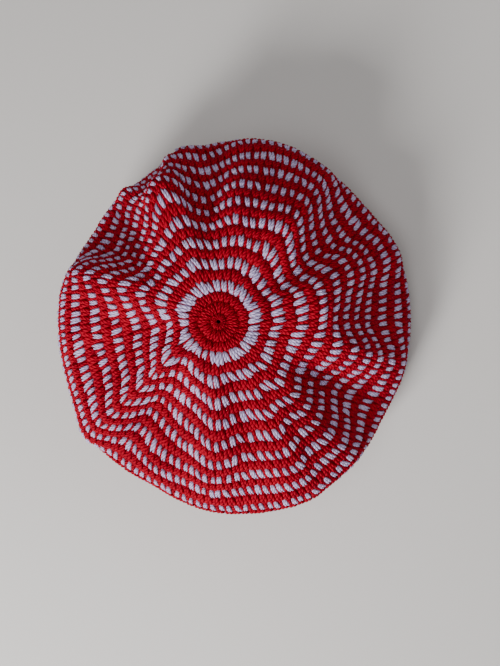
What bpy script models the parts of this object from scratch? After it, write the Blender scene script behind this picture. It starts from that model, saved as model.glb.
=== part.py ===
# A crocheted tam o' shanter, resting crown up on its head band.
# Metres, +Z up. The origin is on the floor, under the middle of the crown's outline.
# The crown is one hollow cloth worked in rounds from its middle: a soft top with radial
# folds, a side that falls from its widest edge, and an underside that runs in to the band.

import math

import bmesh
import bpy
from mathutils import Matrix, Vector

# Crown
CROWN_RADIUS = 0.139
EDGE_DEPTH = 0.053
EDGE_HEIGHT = 0.060
CROWN_WALL = 0.004
MIDDLE_HOLE_RADIUS = 0.0015
CROWN_LEAN = math.radians(9)

# Head band
HEAD_RADIUS = 0.089
BAND_HEIGHT = 0.025
BAND_WALL = 0.004
BAND_EDGE_ROUNDING = 0.0012
SEAM_GAP = 0.0003
SEAT_MARGIN = 0.002

# The cloth: how far its rounds run from the middle of the crown
TURN_ROUND = 11.5
LAST_ROUND = 15.5
ROUND_SHARE = 0.108
FIRST_SHARE = 0.175
FOLD_BLEND = 8.0
FOOT_BLEND = 16.0
FOOT_FLARE = 1.04
EASING_PASSES = 2
TURN_PULL = 0.010
SEAT_PULL = 0.018

# Resolution
COLUMNS_PER_SECTION = 3
TOP_LEVELS = 18
UNDERSIDE_LEVELS = 5
BAND_SEGMENTS = 64
BAND_EDGE_SEGMENTS = 2
BAND_SHARP_ANGLE = math.radians(40)

RED_YARN = (0.61, 0.008, 0.022, 1.0)
YARN_ROUGHNESS = 0.92

# Sections around the crown, one for each ridge, crease or flat of the resting cloth.
# The angle is in degrees from +X. The reaches of the second, fourth, sixth and eighth
# white rounds and of the outline are shares of CROWN_RADIUS, measured from the middle
# of the crown, and the last column counts the rounds from there to the outline.
COLUMNS = ("angle", "second", "fourth", "sixth", "eighth", "outline", "rounds")
SECTIONS = [
    (0, 0.30, 0.52, 0.65, 0.79, 1.06, 11.5),
    (12, 0.29, 0.53, 0.68, 0.82, 1.06, 11.5),
    (21, 0.30, 0.53, 0.72, 0.87, 1.05, 10.5),
    (28, 0.28, 0.48, 0.70, 0.86, 1.04, 10.5),
    (35, 0.28, 0.47, 0.63, 0.81, 1.00, 10.5),
    (43, 0.28, 0.50, 0.66, 0.82, 1.00, 10.5),
    (55, 0.29, 0.56, 0.76, 0.92, 1.00, 9.2),
    (70, 0.30, 0.52, 0.72, 0.91, 1.00, 9.2),
    (83, 0.29, 0.51, 0.71, 0.88, 0.98, 9.2),
    (96, 0.28, 0.48, 0.64, 0.82, 1.01, 10.5),
    (103, 0.29, 0.50, 0.67, 0.85, 1.02, 10.5),
    (108, 0.30, 0.53, 0.76, 0.88, 0.96, 9.5),
    (113, 0.31, 0.53, 0.79, 0.84, 0.85, 9.0),
    (119, 0.30, 0.51, 0.75, 0.81, 0.83, 9.0),
    (127, 0.29, 0.49, 0.65, 0.82, 0.93, 9.5),
    (135, 0.30, 0.48, 0.61, 0.76, 0.94, 10.5),
    (146, 0.30, 0.46, 0.59, 0.72, 0.90, 10.5),
    (160, 0.31, 0.52, 0.73, 0.86, 0.88, 9.0),
    (171, 0.28, 0.47, 0.67, 0.86, 0.90, 9.2),
    (185, 0.25, 0.43, 0.65, 0.85, 0.89, 9.2),
    (200, 0.27, 0.45, 0.65, 0.86, 0.90, 9.2),
    (211, 0.31, 0.47, 0.68, 0.88, 0.93, 9.2),
    (220, 0.32, 0.53, 0.74, 0.91, 0.98, 9.2),
    (226, 0.27, 0.47, 0.68, 0.87, 0.95, 9.2),
    (232, 0.26, 0.43, 0.60, 0.82, 0.95, 9.5),
    (246, 0.28, 0.44, 0.64, 0.86, 0.94, 9.5),
    (257, 0.29, 0.47, 0.68, 0.87, 0.98, 9.5),
    (268, 0.30, 0.52, 0.73, 0.90, 1.01, 9.5),
    (280, 0.28, 0.49, 0.70, 0.89, 1.02, 9.5),
    (288, 0.28, 0.49, 0.71, 0.91, 1.03, 9.5),
    (298, 0.29, 0.52, 0.74, 0.93, 1.04, 9.5),
    (305, 0.28, 0.50, 0.70, 0.90, 1.02, 9.5),
    (315, 0.30, 0.53, 0.71, 0.91, 1.04, 10.0),
    (330, 0.29, 0.48, 0.63, 0.80, 1.02, 10.5),
    (347, 0.28, 0.50, 0.71, 0.87, 1.00, 10.5),
]
CHARTED_ROUNDS = (2, 4, 6, 8)


def clear_scene():
    for thing in list(bpy.data.objects):
        bpy.data.objects.remove(thing)


def yarn_material(name, color):
    material = bpy.data.materials.new(name)
    material.use_nodes = True
    shader = material.node_tree.nodes["Principled BSDF"]
    shader.inputs["Base Color"].default_value = color
    shader.inputs["Roughness"].default_value = YARN_ROUGHNESS
    return material


def smooth_curve(places, values, at):
    # A smooth curve through the values that never runs past a high or a low one
    steps = [b - a for a, b in zip(places, places[1:])]
    slopes = [(b - a) / step for a, b, step in zip(values, values[1:], steps)]
    tangents = [slopes[0]]
    for before, after in zip(slopes, slopes[1:]):
        turns_back = before * after <= 0
        tangents.append(0.0 if turns_back else 2 * before * after / (before + after))
    tangents.append(slopes[-1])
    index = max(i for i in range(len(steps)) if i == 0 or places[i] <= at)
    t = (at - places[index]) / steps[index]
    rise = tangents[index] * steps[index]
    fall = tangents[index + 1] * steps[index]
    start, end = values[index], values[index + 1]
    blend = t * t * (3 - 2 * t)
    return start + (end - start) * blend + t * (1 - t) * ((1 - t) * rise - t * fall)


def around_curve(angles, values, angle):
    # The same curve, closed round the crown
    turn = [a - 360 for a in angles[-2:]] + list(angles) + [a + 360 for a in angles[:2]]
    return smooth_curve(turn, values[-2:] + values + values[:2], angle)


def section_profile(section):
    # Reach and drop of one section at each charted round. The cloth between two rounds
    # keeps its length, so what its reach doesn't take up goes into its drop.
    row = dict(zip(COLUMNS, section))
    rounds = [0, 1] + list(CHARTED_ROUNDS) + [row["rounds"], LAST_ROUND]
    reaches = [0, FIRST_SHARE] + [row[name] for name in COLUMNS[1:6]] + [row["outline"]]
    drops = [0.0, 0.0]
    for i in range(2, len(rounds)):
        cloth = (rounds[i] - rounds[i - 1]) * ROUND_SHARE
        spread = reaches[i] - reaches[i - 1]
        drops.append(drops[-1] + math.sqrt(max(cloth * cloth - spread * spread, 0)))
    return rounds, reaches, drops


def section_span(index):
    # Half the angle from the section before to the section after
    before = SECTIONS[index - 1][0]
    after = SECTIONS[(index + 1) % len(SECTIONS)][0]
    return ((after - before) % 360) / 2


def evened(values, angle, blend):
    # The sections' values at an angle, each counting less the further round it lies
    weights = []
    for index, section in enumerate(SECTIONS):
        apart = (section[0] - angle + 180) % 360 - 180
        weights.append(section_span(index) * math.exp(-0.5 * (apart / blend) ** 2))
    return sum(w * value for w, value in zip(weights, values)) / sum(weights)


def column_angles():
    # Each section's own angle, and even steps from there to the next one
    angles = []
    for index, section in enumerate(SECTIONS):
        gap = (SECTIONS[(index + 1) % len(SECTIONS)][0] - section[0]) % 360
        for step in range(COLUMNS_PER_SECTION):
            angles.append(section[0] + gap * step / COLUMNS_PER_SECTION)
    return angles


def foot_share(at):
    # None of the foot's evener outline down to the eighth round, and all of it at the turn
    t = max(0, (at - CHARTED_ROUNDS[-1]) / (TURN_ROUND - CHARTED_ROUNDS[-1]))
    return t * t * (3 - 2 * t)


def eased(rings):
    # Draws each round's heights a little towards those of the rounds beside it
    middle = [
        [(a + b * 2 + c) / 4 for a, b, c in zip(before, ring, after)]
        for before, ring, after in zip(rings, rings[1:], rings[2:])
    ]
    return [rings[0]] + middle + [rings[-1]]


def top_grid():
    # Points of the crown from its middle hole to where the side turns under
    profiles = [section_profile(section) for section in SECTIONS]
    angles = [section[0] for section in SECTIONS]
    spans = [section_span(index) / 360 for index in range(len(SECTIONS))]
    outlines = [reaches[-1] for _, reaches, _ in profiles]
    outline_drop = sum(span * drops[-2] for span, (_, _, drops) in zip(spans, profiles))
    first_round = MIDDLE_HOLE_RADIUS / CROWN_RADIUS / FIRST_SHARE
    reach_rings = []
    height_rings = []
    for level in range(TOP_LEVELS):
        at = first_round + (TURN_ROUND - first_round) * level / (TOP_LEVELS - 1)
        reaches = [smooth_curve(rounds, reach, at) for rounds, reach, _ in profiles]
        drops = [smooth_curve(rounds, drop, at) for rounds, _, drop in profiles]
        reach_ring = []
        height_ring = []
        for angle in column_angles():
            outline = around_curve(angles, outlines, angle)
            flare = FOOT_FLARE * evened(outlines, angle, FOOT_BLEND) - outline
            reach = around_curve(angles, reaches, angle) + max(flare, 0) * foot_share(at)
            reach_ring.append(CROWN_RADIUS * reach)
            drop = evened(drops, angle, FOLD_BLEND) / outline_drop
            height_ring.append(EDGE_DEPTH * (1 - drop))
        reach_rings.append(reach_ring)
        height_rings.append(height_ring)
    for _ in range(EASING_PASSES):
        height_rings = eased(height_rings)
    turns = [math.radians(angle) for angle in column_angles()]
    lean = Matrix.Rotation(CROWN_LEAN, 4, "Y")
    return [
        [lean @ Vector((reach * math.cos(turn), reach * math.sin(turn), height))
         for turn, reach, height in zip(turns, reaches, heights)]
        for reaches, heights in zip(reach_rings, height_rings)
    ]


def centred(grid):
    # Moves the crown so that its outline is centred over the band and its edge is at height
    xs = [point.x for ring in grid for point in ring]
    ys = [point.y for ring in grid for point in ring]
    shift = Vector((-(min(xs) + max(xs)) / 2, -(min(ys) + max(ys)) / 2, EDGE_HEIGHT))
    return [[point + shift for point in ring] for ring in grid]


def underside_grid(grid):
    # The cloth from the foot of the side, under and in to the band's top edge
    seat_height = BAND_HEIGHT + SEAM_GAP
    seat_radius = HEAD_RADIUS + BAND_WALL + SEAT_MARGIN
    columns = []
    for above, foot in zip(grid[-2], grid[-1]):
        outward = Vector((foot.x, foot.y, 0)).normalized()
        seat = outward * seat_radius + Vector((0, 0, seat_height))
        falling = (foot - above).normalized()
        pull_down = foot + falling * TURN_PULL
        pull_out = seat + outward * SEAT_PULL
        column = []
        for level in range(1, UNDERSIDE_LEVELS + 1):
            t = level / UNDERSIDE_LEVELS
            near = foot * (1 - t) ** 3 + pull_down * 3 * t * (1 - t) ** 2
            column.append(near + pull_out * 3 * t * t * (1 - t) + seat * t ** 3)
        column.append(outward * HEAD_RADIUS + Vector((0, 0, seat_height)))
        columns.append(column)
    return [list(ring) for ring in zip(*columns)]


def make_crown(material):
    top = centred(top_grid())
    grid = top + underside_grid(top)
    mesh = bpy.data.meshes.new("crown")
    bm = bmesh.new()
    column = bm.verts.layers.int.new("column")
    circle = bmesh.ops.create_circle(bm, segments=len(grid[0]), radius=MIDDLE_HOLE_RADIUS)
    loop = circle["verts"]
    edges = list(bm.edges)
    for index, vertex in enumerate(loop):
        vertex[column] = index
        vertex.co = grid[0][index]
    for ring in grid[1:]:
        extruded = bmesh.ops.extrude_edge_only(bm, edges=edges)["geom"]
        edges = [e for e in extruded if isinstance(e, bmesh.types.BMEdge)]
        for vertex in [v for v in extruded if isinstance(v, bmesh.types.BMVert)]:
            vertex.co = ring[vertex[column]]
    bmesh.ops.recalc_face_normals(bm, faces=bm.faces)
    bm.to_mesh(mesh)
    bm.free()
    mesh.shade_smooth()
    mesh.materials.append(material)
    crown = bpy.data.objects.new("crown", mesh)
    bpy.context.collection.objects.link(crown)
    wall = crown.modifiers.new("wall", "SOLIDIFY")
    wall.thickness = CROWN_WALL
    wall.offset = -1
    wall.use_even_offset = True
    return crown


def make_band(material):
    mesh = bpy.data.meshes.new("band")
    bm = bmesh.new()
    corners = [(HEAD_RADIUS, 0), (HEAD_RADIUS + BAND_WALL, 0)]
    corners += [(radius, BAND_HEIGHT) for radius, _ in reversed(corners)]
    vertices = [bm.verts.new((radius, 0, height)) for radius, height in corners]
    bm.faces.new(vertices)
    bmesh.ops.bevel(
        bm, geom=vertices, offset=BAND_EDGE_ROUNDING, segments=BAND_EDGE_SEGMENTS,
        affect="VERTICES", profile=0.5,
    )
    bmesh.ops.delete(bm, geom=list(bm.faces), context="FACES_ONLY")
    bmesh.ops.spin(
        bm, geom=list(bm.edges), cent=(0, 0, 0), axis=(0, 0, 1), angle=math.tau,
        steps=BAND_SEGMENTS, use_merge=True,
    )
    bmesh.ops.recalc_face_normals(bm, faces=bm.faces)
    bm.to_mesh(mesh)
    bm.free()
    mesh.shade_smooth()
    mesh.set_sharp_from_angle(angle=BAND_SHARP_ANGLE)
    mesh.materials.append(material)
    band = bpy.data.objects.new("band", mesh)
    bpy.context.collection.objects.link(band)
    return band


clear_scene()
yarn = yarn_material("red_yarn", RED_YARN)
make_crown(yarn)
make_band(yarn)
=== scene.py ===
import math

import bmesh
import bpy
import numpy as np
from mathutils import Matrix, Vector


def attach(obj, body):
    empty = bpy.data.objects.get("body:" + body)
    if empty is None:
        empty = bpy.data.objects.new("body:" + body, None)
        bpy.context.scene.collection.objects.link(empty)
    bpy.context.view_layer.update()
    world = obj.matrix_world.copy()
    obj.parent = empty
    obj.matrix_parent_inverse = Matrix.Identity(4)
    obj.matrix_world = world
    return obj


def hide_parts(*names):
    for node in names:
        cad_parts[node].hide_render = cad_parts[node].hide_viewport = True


# A crocheted tam o' shanter, lying crown up on its band on a pale floor.
# Every stitch is a body of its own: a row of them is made with an Array, then bent on to the cloth.

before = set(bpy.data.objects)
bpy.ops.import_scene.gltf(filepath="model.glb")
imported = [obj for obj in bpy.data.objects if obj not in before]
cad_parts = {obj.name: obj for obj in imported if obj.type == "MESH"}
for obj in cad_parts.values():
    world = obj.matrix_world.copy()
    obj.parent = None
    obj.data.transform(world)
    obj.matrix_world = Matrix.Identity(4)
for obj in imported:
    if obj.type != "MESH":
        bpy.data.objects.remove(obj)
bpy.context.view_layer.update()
draw = np.random.default_rng(11)
mm = 0.001


# Helpers for colours, nodes, objects and walls

def fromHex(code):
    # sRGB hex to the linear colour that a shader takes
    parts = [int(code[i:i + 2], 16) / 255 for i in (1, 3, 5)]
    linear = [p / 12.92 if p <= 0.04045 else ((p + 0.055) / 1.055) ** 2.4 for p in parts]
    return (*linear, 1.0)


def addNode(tree, kind, inputs=None, **settings):
    added = tree.nodes.new(kind)
    for name, value in settings.items():
        setattr(added, name, value)
    for name, value in (inputs or {}).items():
        if isinstance(value, bpy.types.NodeSocket):
            tree.links.new(value, added.inputs[name])
        else:
            added.inputs[name].default_value = value
    return added


def addObject(name, bm, material=None):
    # A linked object made from a bmesh, which is used up
    mesh = bpy.data.meshes.new(name)
    bm.to_mesh(mesh)
    bm.free()
    if material:
        mesh.materials.append(material)
    made = bpy.data.objects.new(name, mesh)
    bpy.context.collection.objects.link(made)
    return made


def addWall(piece, thickness):
    # Thickens a sheet evenly to both sides
    wall = piece.modifiers.new("wall", "SOLIDIFY")
    wall.thickness = thickness
    wall.offset = 0


# The lie of the cloth, by the same sections as the solids

cloth = {
    "crownRadius": 139 * mm,    # half the usual width of the crown
    "edgeDepth": 53 * mm,       # its middle above its widest edge
    "edgeHeight": 60 * mm,      # that edge above the floor
    "lean": math.radians(9),    # the crown's tilt towards +X
    "wall": 4 * mm,
    "holeRadius": 1.5 * mm,
    "firstShare": 0.175,        # reach of the first white round
    "roundShare": 0.108,        # cloth between two white rounds
    "turnRound": 11.5,          # where the side turns under
    "lastRound": 15.5,
    "foldBlend": 8.0,
    "footBlend": 16.0,
    "footFlare": 1.04,
    "turnPull": 10 * mm,
    "seatPull": 18 * mm,
    "topLevels": 18,
    "stepsPerSection": 3,
}
band = {
    "headRadius": 89 * mm,
    "height": 25 * mm,
    "wall": 4 * mm,
    "seamGap": 0.3 * mm,
    "seatMargin": 2 * mm,
}
# How finely the two sheets are worked out
fineness = {
    "bendSamples": 41,
    "undersideLevels": 16,
    "rows": 340,
    "columnsPerStep": 10,
    "bandRows": 30,
    "bandColumns": 720,
    "heightPasses": 2,          # smoothing of the folds' height
    "normalPasses": 6,          # smoothing of the directions in which stitches stand out
}

# Angle in degrees, then the reach of the second, fourth, sixth and eighth white rounds and of
# the outline as shares of crownRadius, then how many rounds there are to the outline
sections = [
    (0, 0.30, 0.52, 0.65, 0.79, 1.06, 11.5),
    (12, 0.29, 0.53, 0.68, 0.82, 1.06, 11.5),
    (21, 0.30, 0.53, 0.72, 0.87, 1.05, 10.5),
    (28, 0.28, 0.48, 0.70, 0.86, 1.04, 10.5),
    (35, 0.28, 0.47, 0.63, 0.81, 1.00, 10.5),
    (43, 0.28, 0.50, 0.66, 0.82, 1.00, 10.5),
    (55, 0.29, 0.56, 0.76, 0.92, 1.00, 9.2),
    (70, 0.30, 0.52, 0.72, 0.91, 1.00, 9.2),
    (83, 0.29, 0.51, 0.71, 0.88, 0.98, 9.2),
    (96, 0.28, 0.48, 0.64, 0.82, 1.01, 10.5),
    (103, 0.29, 0.50, 0.67, 0.85, 1.02, 10.5),
    (108, 0.30, 0.53, 0.76, 0.88, 0.96, 9.5),
    (113, 0.31, 0.53, 0.79, 0.84, 0.85, 9.0),
    (119, 0.30, 0.51, 0.75, 0.81, 0.83, 9.0),
    (127, 0.29, 0.49, 0.65, 0.82, 0.93, 9.5),
    (135, 0.30, 0.48, 0.61, 0.76, 0.94, 10.5),
    (146, 0.30, 0.46, 0.59, 0.72, 0.90, 10.5),
    (160, 0.31, 0.52, 0.73, 0.86, 0.88, 9.0),
    (171, 0.28, 0.47, 0.67, 0.86, 0.90, 9.2),
    (185, 0.25, 0.43, 0.65, 0.85, 0.89, 9.2),
    (200, 0.27, 0.45, 0.65, 0.86, 0.90, 9.2),
    (211, 0.31, 0.47, 0.68, 0.88, 0.93, 9.2),
    (220, 0.32, 0.53, 0.74, 0.91, 0.98, 9.2),
    (226, 0.27, 0.47, 0.68, 0.87, 0.95, 9.2),
    (232, 0.26, 0.43, 0.60, 0.82, 0.95, 9.5),
    (246, 0.28, 0.44, 0.64, 0.86, 0.94, 9.5),
    (257, 0.29, 0.47, 0.68, 0.87, 0.98, 9.5),
    (268, 0.30, 0.52, 0.73, 0.90, 1.01, 9.5),
    (280, 0.28, 0.49, 0.70, 0.89, 1.02, 9.5),
    (288, 0.28, 0.49, 0.71, 0.91, 1.03, 9.5),
    (298, 0.29, 0.52, 0.74, 0.93, 1.04, 9.5),
    (305, 0.28, 0.50, 0.70, 0.90, 1.02, 9.5),
    (315, 0.30, 0.53, 0.71, 0.91, 1.04, 10.0),
    (330, 0.29, 0.48, 0.63, 0.80, 1.02, 10.5),
    (347, 0.28, 0.50, 0.71, 0.87, 1.00, 10.5),
]
chartedRounds = (2, 4, 6, 8)
angles = [row[0] for row in sections]
spans = [((angles[(i + 1) % len(angles)] - angles[i - 1]) % 360) / 2 for i in range(len(angles))]


def smoothCurve(places, values, at):
    # Passes through the values and never runs past a high or a low one
    steps = [b - a for a, b in zip(places, places[1:])]
    slopes = [(b - a) / step for a, b, step in zip(values, values[1:], steps)]
    tangents = [slopes[0]]
    for before, after in zip(slopes, slopes[1:]):
        turnsBack = before * after <= 0
        tangents.append(0.0 if turnsBack else 2 * before * after / (before + after))
    tangents.append(slopes[-1])
    i = max(k for k in range(len(steps)) if k == 0 or places[k] <= at)
    t = (at - places[i]) / steps[i]
    blend = t * t * (3 - 2 * t)
    pull = (1 - t) * tangents[i] * steps[i] - t * tangents[i + 1] * steps[i]
    return values[i] + (values[i + 1] - values[i]) * blend + t * (1 - t) * pull


def roundTheCrown(values, angle):
    closed = [a - 360 for a in angles[-2:]] + angles + [a + 360 for a in angles[:2]]
    return smoothCurve(closed, values[-2:] + values + values[:2], angle)


def evened(values, angle, blend):
    weights = []
    for sectionAngle, span in zip(angles, spans):
        apart = (sectionAngle - angle + 180) % 360 - 180
        weights.append(span * math.exp(-0.5 * (apart / blend) ** 2))
    return sum(w * v for w, v in zip(weights, values)) / sum(weights)


def sectionProfile(row):
    # The cloth keeps its length between rounds, so what doesn't reach out drops down
    rounds = [0, 1, *chartedRounds, row[6], cloth["lastRound"]]
    reaches = [0, cloth["firstShare"], *row[1:6], row[5]]
    drops = [0.0, 0.0]
    for i in range(2, len(rounds)):
        length = (rounds[i] - rounds[i - 1]) * cloth["roundShare"]
        spread = reaches[i] - reaches[i - 1]
        drops.append(drops[-1] + math.sqrt(max(length * length - spread * spread, 0)))
    return rounds, reaches, drops


def layTop():
    # The crown from its middle hole down to where its side turns under
    profiles = [sectionProfile(row) for row in sections]
    outlines = [row[5] for row in sections]
    outlineDrop = sum(span / 360 * drops[-2] for span, (_, _, drops) in zip(spans, profiles))
    first = cloth["holeRadius"] / cloth["crownRadius"] / cloth["firstShare"]
    levels = np.linspace(first, cloth["turnRound"], cloth["topLevels"])
    turns = []
    for i, start in enumerate(angles):
        gap = (angles[(i + 1) % len(angles)] - start) % 360
        count = cloth["stepsPerSection"]
        turns += [start + gap * step / count for step in range(count)]
    flares = []
    for turn in turns:
        flare = cloth["footFlare"] * evened(outlines, turn, cloth["footBlend"])
        flares.append(max(flare - roundTheCrown(outlines, turn), 0))
    reach = np.zeros((len(levels), len(turns)))
    height = np.zeros_like(reach)
    for i, at in enumerate(levels):
        reaches = [smoothCurve(rounds, out, at) for rounds, out, _ in profiles]
        drops = [smoothCurve(rounds, down, at) for rounds, _, down in profiles]
        t = max(0, (at - chartedRounds[-1]) / (cloth["turnRound"] - chartedRounds[-1]))
        footShare = t * t * (3 - 2 * t)
        for j, turn in enumerate(turns):
            reach[i, j] = roundTheCrown(reaches, turn) + flares[j] * footShare
            height[i, j] = 1 - evened(drops, turn, cloth["foldBlend"]) / outlineDrop
    for _ in range(fineness["heightPasses"]):
        height[1:-1] = (height[:-2] + 2 * height[1:-1] + height[2:]) / 4
    reach *= cloth["crownRadius"]
    height *= cloth["edgeDepth"]
    turn = np.radians(turns)
    lean = cloth["lean"]
    x = reach * np.cos(turn)
    points = np.stack([
        x * math.cos(lean) + height * math.sin(lean),
        reach * np.sin(turn),
        height * math.cos(lean) - x * math.sin(lean),
    ], axis=-1)
    points[..., 0] -= (points[..., 0].min() + points[..., 0].max()) / 2
    points[..., 1] -= (points[..., 1].min() + points[..., 1].max()) / 2
    points[..., 2] += cloth["edgeHeight"]
    return levels, points


def layUnderside(top):
    # From the foot of the side in to the band, cut into rounds of even height
    foot = top[-1]
    falling = foot - top[-2]
    falling /= np.linalg.norm(falling, axis=1, keepdims=True)
    outward = foot * (1, 1, 0)
    outward /= np.linalg.norm(outward, axis=1, keepdims=True)
    seatRadius = band["headRadius"] + band["wall"] + band["seatMargin"]
    seatHeight = np.array((0, 0, band["height"] + band["seamGap"]))
    seat = outward * seatRadius + seatHeight
    pullDown = foot + falling * cloth["turnPull"]
    pullOut = seat + outward * cloth["seatPull"]
    t = np.linspace(0, 1, fineness["bendSamples"])[:, None, None]
    run = (foot * (1 - t) ** 3 + pullDown * 3 * t * (1 - t) ** 2
           + pullOut * 3 * t * t * (1 - t) + seat * t ** 3)
    run = np.concatenate([run, [outward * band["headRadius"] + seatHeight]])
    lengths = np.linalg.norm(np.diff(run, axis=0), axis=2).cumsum(axis=0)
    lengths = np.concatenate([np.zeros((1, len(foot))), lengths])
    shares = np.linspace(0, 1, fineness["undersideLevels"] + 1)[1:]
    points = np.zeros((len(shares), len(foot), 3))
    for column in range(len(foot)):
        at = shares * lengths[-1, column]
        for axis in range(3):
            points[:, column, axis] = np.interp(at, lengths[:, column], run[:, column, axis])
    return cloth["turnRound"] + shares * (cloth["lastRound"] - cloth["turnRound"]), points


def throughPoints(places, values, at):
    # A smooth curve through rows of points, at many places at once
    slope = np.gradient(values, places, axis=0)
    i = np.clip(np.searchsorted(places, at, side="right") - 1, 0, len(places) - 2)
    step = (places[i + 1] - places[i])[:, None, None]
    t = (at - places[i])[:, None, None] / step
    return (values[i] * (1 + 2 * t) * (1 - t) ** 2 + slope[i] * step * t * (1 - t) ** 2
            + values[i + 1] * t * t * (3 - 2 * t) - slope[i + 1] * step * t * t * (1 - t))


class Surface:
    # A sheet known at even steps of u, along the rounds, and of v, once round the head

    def __init__(self, u, points):
        self.u = u
        self.points = points
        along = np.gradient(points, axis=0)
        around = (np.roll(points, -1, axis=1) - np.roll(points, 1, axis=1)) / 2
        normals = np.cross(along, around)
        for _ in range(fineness["normalPasses"]):
            normals += np.roll(normals, 1, axis=1) + np.roll(normals, -1, axis=1)
            normals[1:-1] += normals[:-2] + normals[2:]
            normals /= np.linalg.norm(normals, axis=2, keepdims=True)
        self.normals = normals

    def loopAt(self, u):
        # Running length round the sheet at u
        i, t = self.split(np.array([u]))
        loop = self.points[i[0]] * (1 - t[0]) + self.points[i[0] + 1] * t[0]
        return np.concatenate([[0], np.linalg.norm(np.roll(loop, -1, 0) - loop, axis=1).cumsum()])

    def split(self, u):
        place = (u - self.u[0]) / (self.u[1] - self.u[0])
        i = np.clip(place.astype(int), 0, len(self.u) - 2)
        return i, np.clip(place - i, 0, 1)

    def at(self, u, v, out):
        # Places at u and v, out from the sheet by a distance
        i, s = self.split(u)
        count = self.points.shape[1]
        place = (v % 1) * count
        j = place.astype(int) % count
        k = (j + 1) % count
        t = (place - np.floor(place))[:, None]
        s = s[:, None]

        def mix(grid):
            near = grid[i, j] * (1 - t) + grid[i, k] * t
            far = grid[i + 1, j] * (1 - t) + grid[i + 1, k] * t
            return near * (1 - s) + far * s
        return mix(self.points) + mix(self.normals) * out[:, None]


def crownSurface():
    # The crown's face, from the middle hole over the edge and in to the band
    topLevels, top = layTop()
    underLevels, under = layUnderside(top)
    levels = np.concatenate([topLevels, underLevels])
    points = np.concatenate([top, under])
    fine = np.linspace(levels[0], levels[-1], fineness["rows"])
    rows = throughPoints(levels, points, fine)
    columns = rows.shape[1]
    closed = np.concatenate([rows[:, -3:], rows, rows[:, :3]], axis=1).transpose(1, 0, 2)
    each = fineness["columnsPerStep"]
    at = np.arange(columns * each) / each
    grid = throughPoints(np.arange(-3, columns + 3), closed, at).transpose(1, 0, 2)
    return Surface(fine, grid)


def bandSurface():
    # The band's outer wall, u from 0 at its top to 1 at the floor
    u = np.linspace(0, 1, fineness["bandRows"])
    columns = fineness["bandColumns"]
    turn = np.arange(columns) / columns * math.tau
    radius = band["headRadius"] + band["wall"]
    ring = np.stack([np.cos(turn) * radius, np.sin(turn) * radius, turn * 0], axis=-1)
    heights = band["height"] * (1 - u)
    return Surface(u, ring[None] + heights[:, None, None] * np.array((0, 0, 1)))


crownSheet = crownSurface()
bandSheet = bandSurface()
print("cloth laid:", crownSheet.points.shape)


# Yarn

yarn = {
    "twistLength": 9 * mm,      # length of yarn in which its plies turn once
    "plies": 4,
    "fibre": 0.5 * mm,
    "clump": 14 * mm,           # patches of slightly other dye
    "twistDepth": 0.55 * mm,
    "fibreDepth": 0.30 * mm,
    "stitchTone": 0.9,          # how far each of these changes the yarn's lightness
    # the plies' share is painted shade, darker in the grooves between them
    "plyGrooveShade": 0.7,
    "fibreTone": 0.5,
    "toneSpread": 0.35,         # the most that a stitch's own tone reaches
    "darkAt": 0.45,             # tone at which the yarn is darkest
    "brightFrom": 0.5,          # it is brightest at this plus a share of the whole spread
    "brightShare": 0.85,
    "plyRoot": 0.45,            # below 1 it makes plies round and the grooves narrow
    "roughness": 0.85,
    "specular": 0.1,
    "sheen": 0.04,
    "sheenRoughness": 0.45,
}


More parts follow.
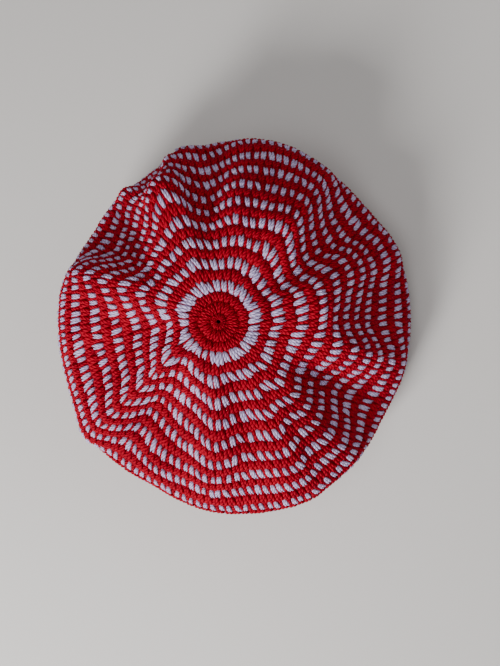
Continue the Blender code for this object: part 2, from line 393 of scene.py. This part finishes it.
def makeYarn(name, deep, bright, sheenTint):
    # Worsted-spun acrylic knitting yarn: matt, plied, with a soft haze of fibres that lightens the
    # edges and plies that show as slanting grooves, bumped and with painted shade darkening the
    # grooves
    material = bpy.data.materials.new(name)
    material.use_nodes = True
    tree = material.node_tree
    shader = tree.nodes["Principled BSDF"]
    place = addNode(tree, "ShaderNodeTexCoord")
    along = addNode(tree, "ShaderNodeUVMap", uv_map="yarn")
    bands = addNode(tree, "ShaderNodeTexWave", {
        "Vector": along.outputs["UV"], "Scale": math.tau / 10 * yarn["plies"], "Distortion": 0.0,
    }, wave_type="BANDS", bands_direction="DIAGONAL")
    # The plies' pattern, high on each ply and low in its grooves: it bumps the yarn, and in the
    # colour it paints shade in the grooves
    plies = addNode(tree, "ShaderNodeMath", {
        0: bands.outputs["Fac"], 1: yarn["plyRoot"],
    }, operation="POWER")
    fibres = addNode(tree, "ShaderNodeTexNoise", {
        "Vector": place.outputs["Object"], "Scale": 1 / yarn["fibre"], "Detail": 4.0,
        "Roughness": 0.7,
    })
    clumps = addNode(tree, "ShaderNodeTexNoise", {
        "Vector": place.outputs["Object"], "Scale": 1 / yarn["clump"], "Detail": 2.0,
    })
    shade = addNode(tree, "ShaderNodeAttribute", attribute_name="shade")
    # Lightness of the yarn: its dye, then each stitch's own, painted shade in the grooves between
    # its plies, and its fibres
    tone = clumps.outputs["Fac"]
    for source, share in (
        (shade.outputs["Fac"], yarn["stitchTone"]),
        (plies.outputs["Value"], yarn["plyGrooveShade"]),
        (fibres.outputs["Fac"], yarn["fibreTone"]),
    ):
        tone = addNode(tree, "ShaderNodeMath", {
            0: source, 1: share, 2: tone,
        }, operation="MULTIPLY_ADD").outputs["Value"]
    spread = yarn["stitchTone"] * yarn["toneSpread"] + yarn["plyGrooveShade"] + yarn["fibreTone"]
    factor = addNode(tree, "ShaderNodeMapRange", {
        "Value": tone, "From Min": yarn["darkAt"],
        "From Max": yarn["brightFrom"] + spread * yarn["brightShare"],
    })
    color = addNode(tree, "ShaderNodeMix", {
        "Factor": factor.outputs["Result"], "A": fromHex(deep), "B": fromHex(bright),
    }, data_type="RGBA")
    fine = addNode(tree, "ShaderNodeBump", {
        "Height": fibres.outputs["Fac"], "Distance": yarn["fibreDepth"], "Strength": 1.0,
    })
    bump = addNode(tree, "ShaderNodeBump", {
        "Height": plies.outputs["Value"], "Distance": yarn["twistDepth"], "Strength": 1.0,
        "Normal": fine.outputs["Normal"],
    })
    tree.links.new(color.outputs["Result"], shader.inputs["Base Color"])
    tree.links.new(bump.outputs["Normal"], shader.inputs["Normal"])
    shader.inputs["Roughness"].default_value = yarn["roughness"]
    shader.inputs["Specular IOR Level"].default_value = yarn["specular"]
    shader.inputs["Sheen Weight"].default_value = yarn["sheen"]
    shader.inputs["Sheen Roughness"].default_value = yarn["sheenRoughness"]
    shader.inputs["Sheen Tint"].default_value = fromHex(sheenTint)
    return material


redYarn = makeYarn("red_acrylic_yarn", "#7C0017", "#B80025", "#C81034")
whiteYarn = makeYarn("white_acrylic_yarn", "#A892C6", "#DCCCF0", "#F4ECFF")
# The red yarn again, darker, as painted shade for the cloth seen in the gaps between stitches
linerYarnInPaintedShade = makeYarn("red_yarn_behind_in_painted_shade", "#640012", "#98001E", "#B01830")


# One stitch

stitch = {
    "pitch": 5.8 * mm,          # width of a stitch along its round
    "height": 7.5 * mm,
    "overlap": 1.1,             # how far red stitches crowd into their neighbours
    "narrowest": 4.5 * mm,      # a white stitch keeps its width down to this pitch
    "sink": 0.9 * mm,           # a stitch's middle below the cloth's face
    "sizeSpread": 0.05,         # unevenness of size, slant, place and lift
    "slantSpread": 0.07,
    "placeSpread": 0.22 * mm,
    "liftSpread": 0.12 * mm,
    "whiteLooser": 1.8,         # how much more uneven the white stitches are
    "legSides": 8,
    "carriedSides": 6,
    "loopSides": 4,
    "lean": math.radians(11),   # the top of a stitch lies ahead of its foot
}

# Across the stitch, along it outwards, and out of the cloth, then the yarn's thickness, in mm
redLeg = [
    (0.30, -4.7, -2.2, 1.6), (0.76, -2.8, -0.55, 2.4), (1.15, -0.4, 0.0, 2.8),
    (1.52, 2.0, -0.35, 2.7), (1.72, 4.1, -2.0, 1.9),
]
whiteLeg = [
    (0.25, -4.2, -1.9, 1.3), (0.66, -2.6, -0.25, 2.1), (0.88, -0.4, 0.30, 2.4),
    (0.98, 2.2, 0.05, 1.8), (1.25, 5.2, -1.35, 0.4),
]
# Red yarn carried along a white round shows between its stitches
carried = [
    (0.0, -4.6, -2.2, 1.9), (0.0, -2.2, -0.85, 2.5), (0.0, 0.3, -0.65, 2.7),
    (0.0, 2.6, -0.85, 2.5), (0.0, 4.6, -2.2, 1.9),
]
topLoop = [(-3.1, 3.4, -2.0, 1.7), (0.0, 4.0, -1.2, 2.0), (3.1, 3.4, -2.0, 1.7)]
backBar = [
    (-3.0, 1.0, -0.40, 1.4), (-1.1, 1.7, -0.05, 2.1),
    (1.1, 1.7, -0.05, 2.1), (3.0, 1.0, -0.40, 1.4),
]
backLoop = [
    (-1.9, -3.2, -0.45, 1.4), (-0.7, -1.8, -0.15, 1.9),
    (0.7, -1.8, -0.15, 1.9), (1.9, -3.2, -0.45, 1.4),
]


def addStrand(bm, path, sides):
    # A short length of yarn: a ring of points drawn along the path, with closed ends
    around = bm.verts.layers.float["around"]
    along = bm.verts.layers.float["along"]
    points = [Vector(p[:3]) * mm for p in path]
    circle = bmesh.ops.create_circle(bm, segments=sides, radius=1)["verts"]
    edges = list({e for v in circle for e in v.link_edges})
    order = {v: i for i, v in enumerate(circle)}
    run = 0.0
    for i, point in enumerate(points):
        ahead = points[min(i + 1, len(points) - 1)] - points[max(i - 1, 0)]
        turned = ahead.to_track_quat("Z", "X").to_matrix()
        if i:
            run += (point - points[i - 1]).length
            drawn = bmesh.ops.extrude_edge_only(bm, edges=edges)["geom"]
            edges = [g for g in drawn if isinstance(g, bmesh.types.BMEdge)]
            fresh = [g for g in drawn if isinstance(g, bmesh.types.BMVert)]
            order = {
                v: order[e.other_vert(v)] for v in fresh for e in v.link_edges
                if e.other_vert(v) in order
            }
        for v, place in order.items():
            turn = math.tau * place / sides
            offset = Vector((math.cos(turn), math.sin(turn), 0)) * path[i][3] / 2 * mm
            v.co = point + turned @ offset
            v[around] = place / sides
            v[along] = run / yarn["twistLength"]
        if i in (0, len(points) - 1):
            bmesh.ops.contextual_create(bm, geom=edges)


def stitchObject(name, strands):
    # Strands joined into one small mesh, with yarn UVs that run round and along each
    bm = bmesh.new()
    around = bm.verts.layers.float.new("around")
    along = bm.verts.layers.float.new("along")
    for path, sides in strands:
        addStrand(bm, path, sides)
    bmesh.ops.recalc_face_normals(bm, faces=bm.faces)
    uv = bm.loops.layers.uv.new("yarn")
    for face in bm.faces:
        face.smooth = True
        # A face across the seam takes the turn's end, so that its yarn doesn't run backwards
        wraps = max(v[around] for v in face.verts) > 0.6
        for loop in face.loops:
            turn = loop.vert[around]
            loop[uv].uv = (turn + 1 if wraps and turn < 0.3 else turn, loop.vert[along])
    for layer in ("around", "along"):
        bm.verts.layers.float.remove(bm.verts.layers.float[layer])
    return addObject(name, bm)


def mirrored(path):
    return [(-x, y, z, thick) for x, y, z, thick in path]


redStitch = stitchObject("redStitch", [
    (redLeg, stitch["legSides"]), (mirrored(redLeg), stitch["legSides"]),
    (topLoop, stitch["loopSides"]),
])
whiteStitch = stitchObject("whiteStitch", [
    (whiteLeg, stitch["legSides"]), (mirrored(whiteLeg), stitch["legSides"]),
])
carriedYarn = stitchObject("carriedYarn", [(carried, stitch["carriedSides"])])
backStitch = stitchObject("backStitch", [
    (backBar, stitch["loopSides"]), (backLoop, stitch["loopSides"]),
])
print("stitches made")


def roundOfStitches(pattern, count, sheet, center, toSheet, side=1, tall=1, wide=None, phase=0.5):
    # An Array of stitches in a straight row, bent on to the sheet and closed into a round.
    # toSheet turns a distance along the cloth into the sheet's u, tall scales a stitch's height,
    # and wide its width, without which it widens until it meets its neighbours.
    row = pattern.modifiers.new("row", "ARRAY")
    row.count = count
    row.use_relative_offset = False
    row.use_constant_offset = True
    row.constant_offset_displace = (stitch["pitch"], 0, 0)
    graph = bpy.context.evaluated_depsgraph_get()
    mesh = bpy.data.meshes.new_from_object(pattern.evaluated_get(graph))
    pattern.modifiers.clear()
    points = np.zeros(len(mesh.vertices) * 3)
    mesh.vertices.foreach_get("co", points)
    points = points.reshape(-1, 3)
    each = len(mesh.vertices) // count
    index = np.arange(len(points)) // each
    loose = 1 if wide is None else stitch["whiteLooser"]
    grow = draw.normal(1, stitch["sizeSpread"] * loose, count)[index]
    leans = draw.normal(0, stitch["slantSpread"] * loose, count)
    slant = (math.tan(stitch["lean"]) + leans)[index]
    slip = draw.normal(0, stitch["placeSpread"] * loose, (2, count))[:, index]
    lift = draw.normal(0, stitch["liftSpread"], count)[index]
    lengths = sheet.loopAt(toSheet(center))
    pitch = lengths[-1] / count
    flat = min(1, pitch / stitch["narrowest"])      # crowded stitches lie flatter
    y = (points[:, 1] * grow + slip[1]) * tall
    x = (points[:, 0] - index * stitch["pitch"]) * grow
    x *= stitch["overlap"] * pitch / stitch["pitch"] if wide is None else wide * flat
    x += y * slant * side + slip[0] * pitch / stitch["pitch"]
    out = (points[:, 2] + lift) * flat - stitch["sink"]
    run = (index + phase) * pitch + x
    v = np.interp(run % lengths[-1], lengths, np.linspace(0, 1, len(lengths)))
    bent = sheet.at(toSheet(center + y), v, out if side > 0 else -out - cloth["wall"])
    mesh.vertices.foreach_set("co", bent.ravel())
    tone = mesh.attributes.new("shade", "FLOAT", "POINT")
    tone.data.foreach_set("value", draw.uniform(0.0, yarn["toneSpread"], count)[index])
    return mesh


def joinRounds(name, meshes, material, flip=False):
    # One piece from several rounds. Those laid on the inside come out mirrored, so their
    # faces are flipped back.
    bm = bmesh.new()
    for mesh in meshes:
        bm.from_mesh(mesh)
        bpy.data.meshes.remove(mesh)
    if flip:
        bmesh.ops.reverse_faces(bm, faces=bm.faces)
    piece = addObject(name, bm, material)
    print(name, len(piece.data.polygons), "faces")
    return piece


# The rounds of the crown

rounds = {
    "count": 32,
    "firstWhite": 4,
    "lastWhite": 30,
    "increase": 8,              # stitches that each round has more than the one before
    "evenFrom": 18,             # increases stop here
    "evenTo": 26,               # and decreases by as many start after this one
    "start": 24.3 * mm,         # cloth from the middle to the first white round
    "nearest": 3.4 * mm,        # the first round's middle is no nearer to the crown's
    "pair": 15 * mm,            # cloth from one white round to the next
    "topTo": 19,                # rounds after this one belong to the side
    "firstTall": 0.5,           # height of the first round's short stitches
    "whiteTall": 1.12,          # height and width of the white stitches nearest the middle
    "whiteWide": 1.02,
    "shrink": 0.13,             # how much smaller they are further out, where red covers more
    "shrinkOver": 8,
    "stagger": 0.54,            # how far, in stitches, each round starts after the last
}


def stitchCount(number):
    grown = min(number, rounds["evenFrom"]) - max(number - rounds["evenTo"], 0)
    return rounds["increase"] * grown


def roundCenter(number):
    # How far along the cloth a round's middle lies
    fromFirst = (number - rounds["firstWhite"]) * rounds["pair"] / 2
    return max(rounds["start"] + fromFirst, rounds["nearest"])


def crownU(distance):
    # The sheet's u at a distance along the cloth: 1 at the first white round
    near = distance / rounds["start"]
    far = 1 + (distance - rounds["start"]) / rounds["pair"]
    return np.where(distance < rounds["start"], near, far)


def isWhite(number):
    striped = rounds["firstWhite"] <= number <= rounds["lastWhite"]
    return striped and number % 2 == 0


groups = {}


def addRound(name, *args, **settings):
    groups.setdefault(name, []).append(roundOfStitches(*args, **settings))


for number in range(1, rounds["count"] + 1):
    white = isWhite(number)
    hue = "white" if white else "red"
    part = "top" if number <= rounds["topTo"] else "side"
    tall = rounds["firstTall"] if number == 1 else 1
    outward = min(max((number - rounds["firstWhite"]) / rounds["shrinkOver"], 0), 1)
    shrunk = 1 - outward * rounds["shrink"]
    phase = number * rounds["stagger"]
    place = (stitchCount(number), crownSheet, roundCenter(number), crownU)
    if not white:
        addRound(f"crown_{part}_red", redStitch, *place, tall=tall, phase=phase)
    else:
        size = {"tall": rounds["whiteTall"] * shrunk, "wide": rounds["whiteWide"] * shrunk}
        addRound(f"crown_{part}_white", whiteStitch, *place, phase=phase, **size)
        addRound(f"crown_{part}_carried_red", carriedYarn, *place, phase=phase + 0.5)
    addRound(f"crown_inside_{hue}", backStitch, *place, side=-1, tall=tall, phase=phase)
pieces = []
for name, meshes in groups.items():
    material = whiteYarn if name.endswith("white") else redYarn
    pieces.append(joinRounds(name, meshes, material, flip="inside" in name))
print("crown stitched")


# The cloth behind the stitches, which closes the gaps between them, in a darker red that paints the
# shade in those gaps

def spreadYarn(mesh):
    # A piece without stitches has no strands to follow, so its yarn runs straight over it
    layer = mesh.uv_layers.new(name="yarn")
    for loop in mesh.loops:
        place = mesh.vertices[loop.vertex_index].co / yarn["twistLength"]
        layer.data[loop.index].uv = (place.x, place.y)


def makeLiner():
    liner = {
        "around": 210, "along": 84, "sink": 2.0 * mm, "thickness": 0.8 * mm, "join": 0.02 * mm,
    }
    bm = bmesh.new()
    bmesh.ops.create_grid(bm, x_segments=liner["around"], y_segments=liner["along"], size=0.5)
    places = np.array([v.co[:] for v in bm.verts])
    v = places[:, 0] + 0.5
    u = crownSheet.u[0] + (places[:, 1] + 0.5) * (crownSheet.u[-1] - crownSheet.u[0])
    bent = crownSheet.at(u, np.clip(v, 0, 1), np.full(len(u), -liner["sink"]))
    for vert, place in zip(bm.verts, bent):
        vert.co = place
    bmesh.ops.remove_doubles(bm, verts=bm.verts, dist=liner["join"])
    bmesh.ops.recalc_face_normals(bm, faces=bm.faces)
    for face in bm.faces:
        face.smooth = True
    piece = addObject("crown_behind", bm, linerYarnInPaintedShade)
    spreadYarn(piece.data)
    addWall(piece, liner["thickness"])
    return piece


def makeMiddleRing():
    # The first stitches are worked into a ring of yarn, pulled tight round the middle hole
    ring = {
        "radius": 2.2 * mm, "thickness": 1.9 * mm, "drop": 1.6 * mm, "around": 28, "sides": 8,
    }
    bm = bmesh.new()
    start = Matrix.Translation((ring["radius"], 0, 0)) @ Matrix.Rotation(math.pi / 2, 4, "X")
    circle = bmesh.ops.create_circle(
        bm, segments=ring["sides"], radius=ring["thickness"] / 2, matrix=start)["verts"]
    edges = list({e for v in circle for e in v.link_edges})
    bmesh.ops.spin(bm, geom=circle + edges, axis=(0, 0, 1), cent=(0, 0, 0), angle=math.tau,
                   steps=ring["around"], use_merge=True)
    middle = crownSheet.points[0].mean(axis=0)
    up = Vector(crownSheet.normals[0].mean(axis=0)).normalized()
    turn = up.to_track_quat("Z", "Y").to_matrix().to_4x4()
    place = Matrix.Translation(Vector(middle) - up * ring["drop"]) @ turn
    bmesh.ops.transform(bm, matrix=place, verts=bm.verts)
    bmesh.ops.recalc_face_normals(bm, faces=bm.faces)
    piece = addObject("middle_ring", bm, redYarn)
    piece.data.shade_smooth()
    spreadYarn(piece.data)
    return piece


behind = makeLiner()
pieces.append(makeMiddleRing())
pieces.append(behind)
for piece in pieces:
    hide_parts("crown")


# The band: four plain red rounds

bandRounds = {
    "count": 4,
    "stitches": 96,
    "behindInset": 0.6 * mm,    # the cloth behind stops short of the band's two edges
    "behindAround": 180,
    "behindThickness": 1.2 * mm,
}


def makeBand():
    step = band["height"] / bandRounds["count"]
    squeeze = step / stitch["height"]
    outer = []
    inner = []
    for number in range(bandRounds["count"]):
        center = step * (number + 0.5)

        def squeezed(distance, center=center):
            return (center + (distance - center) * squeeze) / band["height"]
        place = (bandRounds["stitches"], bandSheet, center, squeezed)
        phase = number * rounds["stagger"]
        outer.append(roundOfStitches(redStitch, *place, phase=phase))
        inner.append(roundOfStitches(backStitch, *place, side=-1, phase=phase))
    front = joinRounds("band_outside", outer, redYarn)
    back = joinRounds("band_inside", inner, redYarn, flip=True)
    bm = bmesh.new()
    radius = band["headRadius"] + band["wall"] / 2
    inset = bandRounds["behindInset"]
    bmesh.ops.create_circle(bm, segments=bandRounds["behindAround"], radius=radius)
    for vert in bm.verts:
        vert.co.z = inset
    drawn = bmesh.ops.extrude_edge_only(bm, edges=list(bm.edges))["geom"]
    for vert in [g for g in drawn if isinstance(g, bmesh.types.BMVert)]:
        vert.co.z = band["height"] - inset
    bmesh.ops.recalc_face_normals(bm, faces=bm.faces)
    # The band's cloth behind its stitches takes the darker red of painted shade
    core = addObject("band_behind", bm, linerYarnInPaintedShade)
    core.data.shade_smooth()
    spreadYarn(core.data)
    addWall(core, bandRounds["behindThickness"])
    return [front, back, core]


bandPieces = makeBand()
for piece in bandPieces:
    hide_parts("band")
for piece in pieces + bandPieces:
    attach(piece, "root")
for pattern in (redStitch, whiteStitch, carriedYarn, backStitch):
    bpy.data.objects.remove(pattern)
print("band stitched")


# Floor, light and camera

studio = {
    "floorSize": 6.0,
    "floorColor": "#DAD6D2",
    "floorGrain": 900.0,
    "grainDepth": 0.05 * mm,
    "worldColor": "#E6E6EA",
    "worldStrength": 0.24,
    "focalPixels": 613,         # the photograph's focal length, of its 666 pixel side
    "longSide": 666,
    "distance": 417.5 * mm,     # camera to the crown's middle
    "aside": (21.5 * mm, -7.8 * mm),
}
# Name, place, size of the square lamp and its power in watts
lamps = [
    ("key", (-0.65, -1.15, 0.85), 0.45, 31),
    ("fill", (1.2, 0.5, 1.1), 1.2, 3),
    ("over", (-0.2, -0.2, 1.6), 1.0, 8),
]


def makeFloor():
    bm = bmesh.new()
    bmesh.ops.create_grid(bm, x_segments=1, y_segments=1, size=studio["floorSize"] / 2)
    # Board with matt paint and a fine grain
    material = bpy.data.materials.new("painted_board")
    material.use_nodes = True
    tree = material.node_tree
    grain = addNode(tree, "ShaderNodeTexNoise", {
        "Vector": addNode(tree, "ShaderNodeTexCoord").outputs["Object"],
        "Scale": studio["floorGrain"],
    })
    bump = addNode(tree, "ShaderNodeBump", {
        "Height": grain.outputs["Fac"], "Distance": studio["grainDepth"],
    })
    shader = tree.nodes["Principled BSDF"]
    tree.links.new(bump.outputs["Normal"], shader.inputs["Normal"])
    shader.inputs["Base Color"].default_value = fromHex(studio["floorColor"])
    shader.inputs["Roughness"].default_value = 0.9
    floor = addObject("floor", bm, material)


def addLight(name, place, size, watts, aim=(0, 0, 0.05)):
    data = bpy.data.lights.new(name, "AREA")
    data.size = size
    data.energy = watts
    lamp = bpy.data.objects.new(name, data)
    lamp.location = place
    lamp.rotation_euler = (Vector(aim) - Vector(place)).to_track_quat("-Z", "Y").to_euler()
    bpy.context.collection.objects.link(lamp)


def makeCamera():
    # Square to the tilted crown, as the photograph looks at it
    data = bpy.data.cameras.new("camera")
    data.sensor_width = 36
    data.lens = data.sensor_width * studio["focalPixels"] / studio["longSide"]
    camera = bpy.data.objects.new("camera", data)
    middle = Vector(crownSheet.points[0].mean(axis=0))
    lean = Matrix.Rotation(cloth["lean"], 4, "Y")
    place = middle + lean @ Vector((*studio["aside"], studio["distance"]))
    camera.matrix_world = Matrix.Translation(place) @ lean
    bpy.context.collection.objects.link(camera)
    bpy.context.scene.camera = camera


makeFloor()
for lamp in lamps:
    addLight(*lamp)
world = bpy.data.worlds.new("studio")
world.use_nodes = True
world.node_tree.nodes["Background"].inputs["Color"].default_value = fromHex(studio["worldColor"])
world.node_tree.nodes["Background"].inputs["Strength"].default_value = studio["worldStrength"]
bpy.context.scene.world = world
makeCamera()
print("floor, lights and camera set")
